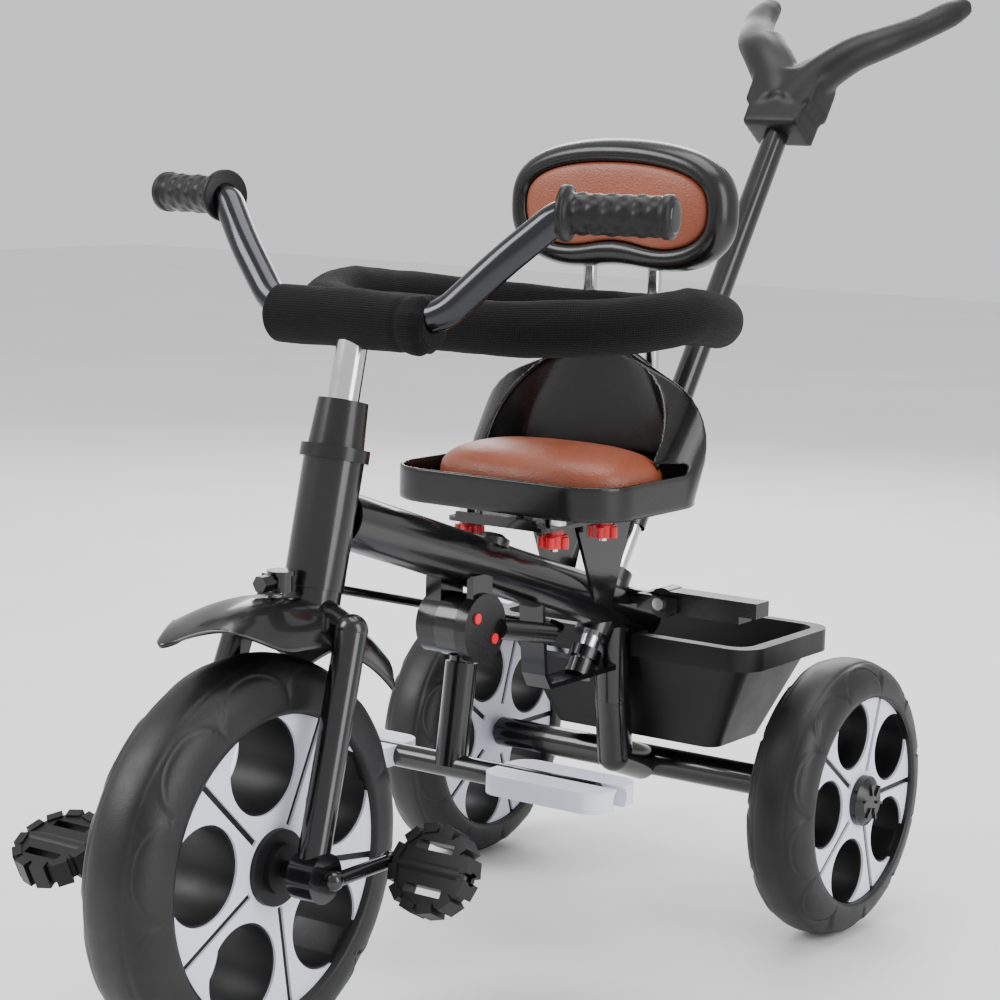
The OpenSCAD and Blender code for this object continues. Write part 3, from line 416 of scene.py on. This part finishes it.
def tyre_piece(name, middle, r_in, r_out, width, body, stands_for, twist):
    """Foam tyre: a ring of raised petals on each sidewall, grooved round their edges, and two mould seams."""
    profile = []
    for i in range(SECTION_STEPS + 1):
        t = -math.pi / 2 + math.pi * i / SECTION_STEPS
        c, s = abs(math.cos(t)) ** SECTION_POWER, math.copysign(abs(math.sin(t)) ** SECTION_POWER, t)
        profile.append((r_in + (r_out - r_in) * c, width / 2 * s))
    for i in range(1, 6):
        profile.append((r_in - 0.3 * MM, width / 2 * (1 - i / 3)))

    def relief(r, x, a):
        share = (r - r_in) / (r_out - r_in)
        side = abs(x) / (width / 2)
        seam = -SEAM * math.exp(-((side - SEAM_SIDE) / 0.02) ** 2) if share > 0.5 else 0.0
        if share < 0.04 or side < 0.4:
            return (seam, 0)
        offset = ((a + twist) * TYRE_PETALS / (2 * math.pi)) % 1.0 - 0.5
        edge = 0.14 + 0.72 * max(0.0, 1 - (2 * abs(offset)) ** 2.6) ** 0.5
        inside = 1 / (1 + math.exp(-(edge - share) / 0.02))
        groove = math.exp(-((share - edge) / 0.045) ** 2)
        return (seam, math.copysign(PETAL_RISE * inside - GROOVE * groove, x))

    verts, faces = revolve(profile, TYRE_STEPS, relief)
    verts = [v + middle for v in verts]
    new_piece(name, verts, faces, TYRE, body, stands_for)


# ---------- Camera, floor and light ----------
def make_camera():
    data = bpy.data.cameras.new("camera")
    camera = bpy.data.objects.new("camera", data)
    bpy.context.scene.collection.objects.link(camera)
    data.lens = 92.28
    data.sensor_width = 36
    position = Vector((1.08909, -1.61912, 0.64065))
    target = Vector((0.00534, -0.0735, 0.3539))
    roll = math.radians(1.414)
    away = (position - target).normalized()
    right = (-away).cross(Vector((0, 0, 1))).normalized()
    up = right.cross(-away)
    right, up = right * math.cos(roll) + up * math.sin(roll), up * math.cos(roll) - right * math.sin(roll)
    turn = Matrix((right, up, away)).transposed()
    camera.matrix_world = Matrix.Translation(position) @ turn.to_4x4()
    bpy.context.scene.camera = camera


def area_light(name, place, aim, size, power):
    data = bpy.data.lights.new(name, "AREA")
    data.shape = "RECTANGLE"
    data.size, data.size_y = size
    data.energy = power
    lamp = bpy.data.objects.new(name, data)
    bpy.context.scene.collection.objects.link(lamp)
    lamp.location = place
    lamp.rotation_euler = (Vector(aim) - Vector(place)).to_track_quat("-Z", "Y").to_euler()


def make_room():
    bpy.ops.mesh.primitive_plane_add(size=14, location=(0, 0, 0))
    floor = bpy.context.object
    floor.name = "floor"
    s = Shader("pale_floor", (0.86, 0.86, 0.86), 0.6)
    s.vary(s.noise(3, 2), (0.84, 0.84, 0.84), (0.88, 0.88, 0.88))
    floor.data.materials.append(s.mat)
    world = bpy.data.worlds.new("studio")
    bpy.context.scene.world = world
    world.use_nodes = True
    background = world.node_tree.nodes["Background"]
    background.inputs["Color"].default_value = (1.0, 1.0, 1.0, 1)
    background.inputs["Strength"].default_value = 0.9
    middle = (0, -0.05, 0.35)
    area_light("key", (-1.5, -1.9, 2.1), middle, (1.4, 1.4), 62)
    area_light("side", (2.4, -0.2, 1.3), middle, (1.2, 2.2), 42)
    area_light("top", (0.1, 0.2, 2.6), middle, (1.6, 1.6), 34)
    area_light("back", (-1.2, 2.2, 1.5), middle, (1.6, 1.2), 34)


make_camera()
make_room()

# ---------- Wheels ----------
tyre_piece("tyre_front", at(0, AXLE_Y, FRONT_R), FRONT_OPENING_R * MM, FRONT_R * MM, FRONT_TYRE_W * MM,
           "front_wheel", ("front_tyre",), 0.2)
# A rear tyre lies over the tyre that is one solid with its CAD wheel, so it replaces nothing
for side, label in ((1, "left"), (-1, "right")):
    tyre_piece(f"tyre_rear_{label}", at(side * REAR_X, 0, REAR_R), REAR_OPENING_R * MM, REAR_R * MM,
               REAR_TYRE_W * MM, f"rear_wheel_{label}", (), 0.35)

# ---------- Padded ring and bar cover ----------
RING_R, RING_FRONT_R, RING_TUBE = 150, 101, 19.6
RING_SIDE_Z, RING_REAR_Z, RING_FRONT_Z = 500, 482, 490
RING_MID_Y = -62 - 148
# Share of each front quarter that is bend, the rest being straight
BEND_SHARE = 0.77


def ring_point(t):
    """A point of the ring, t from 0 at the back: a half circle behind, two bends and a straight in front."""
    if math.cos(t) >= 0:
        x, back = RING_R * math.sin(t), RING_R * math.cos(t)
        return at(x, RING_MID_Y + back, RING_SIDE_Z - (RING_SIDE_Z - RING_REAR_Z) * back / RING_R)
    flat = RING_R - RING_FRONT_R
    side = math.copysign(1, math.sin(t))
    along = abs(t - math.pi) / (math.pi / 2)
    if along > 1 - BEND_SHARE:
        angle = (along - (1 - BEND_SHARE)) / BEND_SHARE * math.pi / 2
        x, reach = side * (flat + RING_FRONT_R * math.sin(angle)), RING_FRONT_R * math.cos(angle)
    else:
        x, reach = side * flat * along / (1 - BEND_SHARE), RING_FRONT_R
    return at(x, RING_MID_Y - reach, RING_SIDE_Z - (RING_SIDE_Z - RING_FRONT_Z) * reach / RING_FRONT_R)


def creases(s, a):
    """Soft folds of a loose knit sleeve along its length."""
    wide = noise.noise(Vector((s * 16, math.cos(a) * 0.9, math.sin(a) * 0.9)))
    fine = noise.noise(Vector((s * 60, math.cos(a) * 2.4 + 9, math.sin(a) * 2.4)))
    return (1.5 * wide + 0.5 * fine) * MM


RING_STEPS = 160
ring_path = [ring_point(2 * math.pi * i / RING_STEPS) for i in range(RING_STEPS)]
verts, faces, uvs = tube_mesh(ring_path, RING_TUBE * MM, sides=36, closed=True, relief=creases)
guard = new_piece("guard_ring_cover", verts, faces, KNIT, "frame", ("guard_ring",), uvs=uvs)

BAR_Z = 500
BAR_Y = AXIS_Y0 + BAR_Z * math.tan(RAKE)


def cover_radius(share):
    """Rounded off at both ends."""
    ends = min(share / 0.035, (1 - share) / 0.05, 1.0)
    return (13.5 + 6.8 * math.sqrt(max(ends, 0))) * MM


def cover_folds(s, a):
    """Soft folds, with gathers and a stitched band near one end."""
    near_end = math.exp(-((s - 0.132) / 0.012) ** 2)
    wide = noise.noise(Vector((s * 22 + 4, math.cos(a), math.sin(a))))
    gathers = math.cos(a * 11 + 2 * math.sin(a * 3)) * near_end
    band = -1.1 * math.exp(-((s - 0.118) / 0.003) ** 2)
    return (1.3 * wide + 0.9 * gathers + band) * MM


cover_path = smooth_path([at(-72, BAR_Y, 497), at(-30, BAR_Y, 497.5), at(20, BAR_Y, 497),
                          at(66, BAR_Y, 497)], 34)
verts, faces, uvs = tube_mesh(cover_path, cover_radius, sides=44, relief=cover_folds)
cover = new_piece("bar_cover_knit", verts, faces, KNIT, "steering", ("bar_cover",), uvs=uvs)

# ---------- Handlebar and grips ----------


def bar_points(s):
    """Corners of one half of the handlebar, from its middle to the end of its grip."""
    grip = 76
    sweep = 20 * grip / 82
    return [(0, BAR_Y, BAR_Z), (s * 72, BAR_Y - 1, BAR_Z + 2), (s * 111, BAR_Y + 12, BAR_Z + 41),
            (s * 146, BAR_Y + 31, BAR_Z + 75), (s * (146 + grip), BAR_Y + 31 + sweep, BAR_Z + 75)]


def rounded_bar():
    """Centre line of the whole handlebar with its corners bent round."""
    left = bar_points(1)
    ends = [at(*left[4]), at(*left[3])]
    chain = left[::-1]
    points = [at(*chain[0])]
    for k in range(1, 4):
        here, before, after = at(*chain[k]), at(*chain[k - 1]), at(*chain[k + 1])
        trim = (12 if k == 1 else 16) * MM
        a = here + (before - here).normalized() * trim
        b = here + (after - here).normalized() * trim
        for i in range(9):
            t = i / 8
            points.append(a * (1 - t) ** 2 + here * 2 * t * (1 - t) + b * t ** 2)
    points.append(at(*chain[4]))
    mirrored = [Vector((-p.x, p.y, p.z)) for p in reversed(points[:-1])]
    return points + mirrored


BAR_R = 11
verts, faces = tube_mesh(rounded_bar(), BAR_R * MM, sides=32)[:2]
bar = new_piece("handlebar_tube", verts, faces, GUNMETAL, "steering", ("handlebar",))


def grip_piece(s):
    """Rubber grip: flange, ribbed barrel with rows of raised drops, and a rounded cap."""
    p, q = at(*bar_points(s)[3]), at(*bar_points(s)[4])
    along = (q - p).normalized()
    length = (q - p).length
    barrel_r, barrel_end, row_pitch, drop_height = 13.4, 70, 10.4, 0.9
    rings = [(0.4, 17.5), (0.9, 18.8), (4.4, 18.8), (5.4, 17.6), (6.2, 14.6), (8.5, 13.6)]
    x = 9.6
    while x < barrel_end:
        rings.append((x, barrel_r))
        x += 0.9
    rings += [(70.6, 14.2), (71.4, 14.8), (75.6, 14.8), (76.6, 14.0), (77.6, 12.6), (78.2, 10.5), (78.4, 5.0)]
    sides = 60
    side = along.cross(Vector((0, 0, 1))).normalized()
    top = side.cross(along)
    verts = []
    for x, r in rings:
        for j in range(sides):
            a = 2 * math.pi * j / sides
            lift = 0.0
            if 10 < x < barrel_end:
                row = (x - 14) / row_pitch
                column = a / (2 * math.pi) * 8 + 0.5 * (round(row) % 2)
                dx, da = (row - round(row)) * row_pitch, (column - round(column)) * 10.5
                lift = drop_height * math.exp(-((dx / 2.9) ** 4 + (da / 3.2) ** 4))
            place = min(x, length / MM + 2.4)
            verts.append(p + along * place * MM + (side * math.cos(a) + top * math.sin(a)) * (r + lift) * MM)
    faces = grid_faces(len(rings), sides, close_columns=True)
    faces.append(tuple(range(sides - 1, -1, -1)))
    faces.append(tuple((len(rings) - 1) * sides + j for j in range(sides)))
    return new_piece("grip_left" if s > 0 else "grip_right", verts, faces, RUBBER, "steering")


grips = [grip_piece(s) for s in (1, -1)]
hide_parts("grips")

# ---------- Fender ----------
FENDER_R = 178.5
FENDER_FRONT, FENDER_REAR = math.radians(118), math.radians(45)
FENDER_SHEET = 2.4 * MM


def fender_piece():
    """Pressed fender: a pointed front lip that widens smoothly into skirts.

    Angles are counted from +Y over the top, so past 90 degrees is forward.
    """
    centre = at(0, AXLE_Y, FRONT_R)
    rows, columns = 72, 36
    outer = []
    for i in range(rows + 1):
        share = i / rows
        widen = math.sin(min(1.0, share / 0.4) * math.pi / 2)
        half = 16 + 27 * widen
        skirt = 30 * widen ** 2 + 4 * (1 - widen)
        lip = math.exp(-(share / 0.12) ** 2)
        for j in range(columns + 1):
            u = -1 + 2 * j / columns
            a = FENDER_FRONT + (FENDER_REAR - FENDER_FRONT) * share - math.radians(9) * u * u * (1 - widen)
            r = FENDER_R - skirt * abs(u) ** 2.6 + 3 * lip * (1 - u * u)
            outer.append(centre + Vector((half * u, r * math.cos(a), r * math.sin(a))) * MM)
    faces = grid_faces(rows + 1, columns + 1)
    obj = new_piece("fender_shell", outer, faces, PAINT, "steering", ("fender",))
    obj.parent = None
    add(obj, "SOLIDIFY", thickness=FENDER_SHEET, offset=-1)
    apply_all(obj)
    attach(obj, "steering")


fender_piece()

# ---------- Backrest ----------
BACK_Z = 568
BACK_FRONT = -80
BACK_HALF_W, BACK_HALF_H, BACK_DIP = 102, 53.5, 8


def bean_outline(half_w, half_h, dip, count=96):
    """Kidney outline: wide round ends, with a dip in the middle of its lower side."""
    points = []
    for x, z in superellipse(half_w, half_h, 2.7, count):
        hollow = math.exp(-(x / (half_w * 0.42)) ** 2)
        z += dip * hollow * (1 if z < 0 else 0)
        z += -0.035 * half_h * (1 - hollow) if z > 0 else 0
        points.append((x, z))
    return points


def lofted(sections):
    """Closed form through rings of equal length, capped at both ends by a shrinking fan."""
    count = len(sections[0])
    verts = [p for ring in sections for p in ring]
    faces = grid_faces(len(sections), count, close_columns=True)
    for ring, start in ((sections[0], 0), (sections[-1], (len(sections) - 1) * count)):
        centre = sum(ring, Vector()) / count
        verts.append(centre)
        last = len(verts) - 1
        faces += [(start + j, start + (j + 1) % count, last) for j in range(count)]
    return verts, faces


def bean_ring(inset, y):
    """One ring of the backrest: the outline drawn in by inset mm, at y from the rear axle."""
    shape = bean_outline(BACK_HALF_W - inset, BACK_HALF_H - inset, BACK_DIP + inset * 0.10)
    return [at(x, y, BACK_Z + z) for x, z in shape]


def backrest():
    """Moulded shell with its leather insert. Both are lofted through (inset, depth) pairs."""
    # Shell: a deep rounded rim round a hollow for the pad
    rings = []
    for inset, back in ((19.0, 9), (18.0, 5.0), (16.5, 2.0), (14.0, 0.4), (11.0, 0.0), (8.0, 0.6), (5.0, 2.6),
                        (2.6, 6.0), (1.0, 10), (0.0, 15), (0.3, 20), (1.8, 24.5), (4.6, 27.6), (9, 29.4),
                        (16, 30), (30, 30.0)):
        rings.append(bean_ring(inset, BACK_FRONT + back))
    verts, faces = lofted(rings)
    shell = new_piece("backrest_rim", verts, faces, GLOSS, "frame", ("backrest_shell",))
    # Leather insert, crowned, pulled in at its edge
    rings = []
    for inset, back in ((18.6, 8), (18.4, 5.5), (18.8, 3.6), (20.5, 2.4), (24, 1.5), (30, 0.8), (38, 0.2),
                        (48, -0.3)):
        rings.append(bean_ring(inset, BACK_FRONT + back))
    rings.reverse()
    verts, faces = lofted(rings)
    pad = new_piece("backrest_leather", verts, faces, LEATHER, "frame", ("backrest_pad",))


backrest()

# ---------- Seat ----------
PAD_FRAMES = 20


def simulate_pad(obj, pressure, cap):
    """Fills a pad with air by cloth simulation, and limits how far a point may move."""
    scene = bpy.context.scene
    before = [v.co.copy() for v in obj.data.vertices]
    cloth = obj.modifiers.new("cloth", "CLOTH")
    cloth.settings.use_pressure = True
    cloth.settings.uniform_pressure_force = pressure
    cloth.settings.effector_weights.gravity = 0
    cloth.point_cache.frame_start, cloth.point_cache.frame_end = 1, PAD_FRAMES
    for frame_number in range(1, PAD_FRAMES + 1):
        scene.frame_set(frame_number)
    graph = bpy.context.evaluated_depsgraph_get()
    after = obj.evaluated_get(graph).to_mesh()
    moved = [v.co.copy() for v in after.vertices]
    obj.modifiers.clear()
    scene.frame_set(1)
    for v, a, b in zip(obj.data.vertices, before, moved):
        step = b - a
        v.co = a + step * min(1.0, cap / max(step.length, 1e-9))


def cushion():
    """Seat cushion: a crowned leather pad, its edge pulled down into the pan."""
    rings = []
    for inset, z in ((6, 352.4), (2.0, 352.8), (0.6, 355), (0.0, 360), (0.2, 366), (1.4, 372), (4.0, 377),
                     (9, 381), (17, 384.4), (28, 387), (42, 388.8), (54, 389.4)):
        shape = superellipse(88.5 - inset, 57.5 - inset * 0.96, 2.9, 88)
        rings.append([at(x, -156 + y, z + 0.8 - 2.2 * (x / 89) ** 2 * (z > 374)) for x, y in shape])
    verts, faces = lofted(rings)
    obj = new_piece("seat_cushion", verts, faces, LEATHER, "seat", ("seat_pad",))
    obj.parent = None
    add(obj, "REMESH", mode="VOXEL", voxel_size=4.5 * MM)
    add(obj, "SMOOTH", factor=0.5, iterations=3)
    apply_all(obj)
    simulate_pad(obj, 3.0, 2.2 * MM)
    add(obj, "SMOOTH", factor=0.5, iterations=4)
    add(obj, "SUBSURF", levels=1, render_levels=1)
    apply_all(obj)
    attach(obj, "seat")


cushion()


def soften(node, name, material, body, voxel, passes, keep):
    """A copy of a CAD node as one moulding: its corners rounded, its flats run into each other."""
    mesh = NODES[node].data.copy()
    mesh.materials.clear()
    mesh.materials.append(material)
    obj = bpy.data.objects.new(name, mesh)
    bpy.context.scene.collection.objects.link(obj)
    add(obj, "REMESH", mode="VOXEL", voxel_size=voxel)
    add(obj, "SMOOTH", factor=0.5, iterations=passes)
    add(obj, "DECIMATE", ratio=keep)
    apply_all(obj)
    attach(obj, body)
    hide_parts(node)
    return obj


soften("seat_shell", "seat_bucket", GLOSS, "seat", 1.4 * MM, 8, keep=0.35)


def seat_rim():
    """Rolled edge round the seat's back, in the plane that the back's front edge leans in."""
    lean, radius, down = math.radians(29), 80.6, -20.0
    flat = [(radius, down), (radius, down / 2)]
    flat += [(radius * math.cos(a), radius * math.sin(a)) for a in [math.pi * k / 30 for k in range(31)]]
    flat += [(-radius, down / 2), (-radius, down)]
    path = [at(x, -125.3 + u * math.sin(lean), 390 + u * math.cos(lean)) for x, u in flat]
    verts, faces = tube_mesh(path, 2.5 * MM, sides=14, up=Vector((0, -1, 0)))[:2]
    new_piece("seat_back_rim", verts, faces, GLOSS, "seat")


seat_rim()

# ---------- Push handle ----------
HANDLE_Z = 626
POLE_FOOT = Vector((0, -102, 211))


def push_handle():
    """Moulded handle: a box on the pole and two wide horns that sweep out, back and up."""
    lean = Vector((0, math.sin(POLE_LEAN), math.cos(POLE_LEAN)))
    low = POLE_FOOT + lean * ((HANDLE_Z - POLE_FOOT.z) / math.cos(POLE_LEAN))
    turn = Matrix.Rotation(-POLE_LEAN, 3, "X")
    parts = [box_mesh(at(*(low + lean * 20)), Vector((54, 38, 40)) * MM, turn),
             box_mesh(at(*(low + lean * 40)), Vector((66, 38, 34)) * MM, turn)]
    tip = Vector((96.5, 323.5, 740))
    for s in (-1, 1):
        points = [(s * 4, 190, 650), (s * 18, 206, 672), (s * 42, 225, 694), (s * 62, 246, 706),
                  (s * 78, 276, 718), (s * 90, 303, 730), (s * tip.x, tip.y + 8, tip.z + 1)]
        path = smooth_path([at(*p) for p in points], 8)

        def width(share):
            return (23 - 8.5 * min(1, share * 1.4) - 3.5 * max(0, share - 0.88) / 0.12) * MM

        parts.append(tube_mesh(path, width, sides=24, flat=0.82)[:2])
        web = smooth_path([at(0, 200, 668), at(s * 26, 226, 690), at(s * 52, 252, 706)], 8)
        parts.append(tube_mesh(web, 13 * MM, sides=20)[:2])
    obj = melt("push_handle_moulded", parts, SATIN, "pole_handle", ("push_handle",), 2.4 * MM, passes=12)


push_handle()
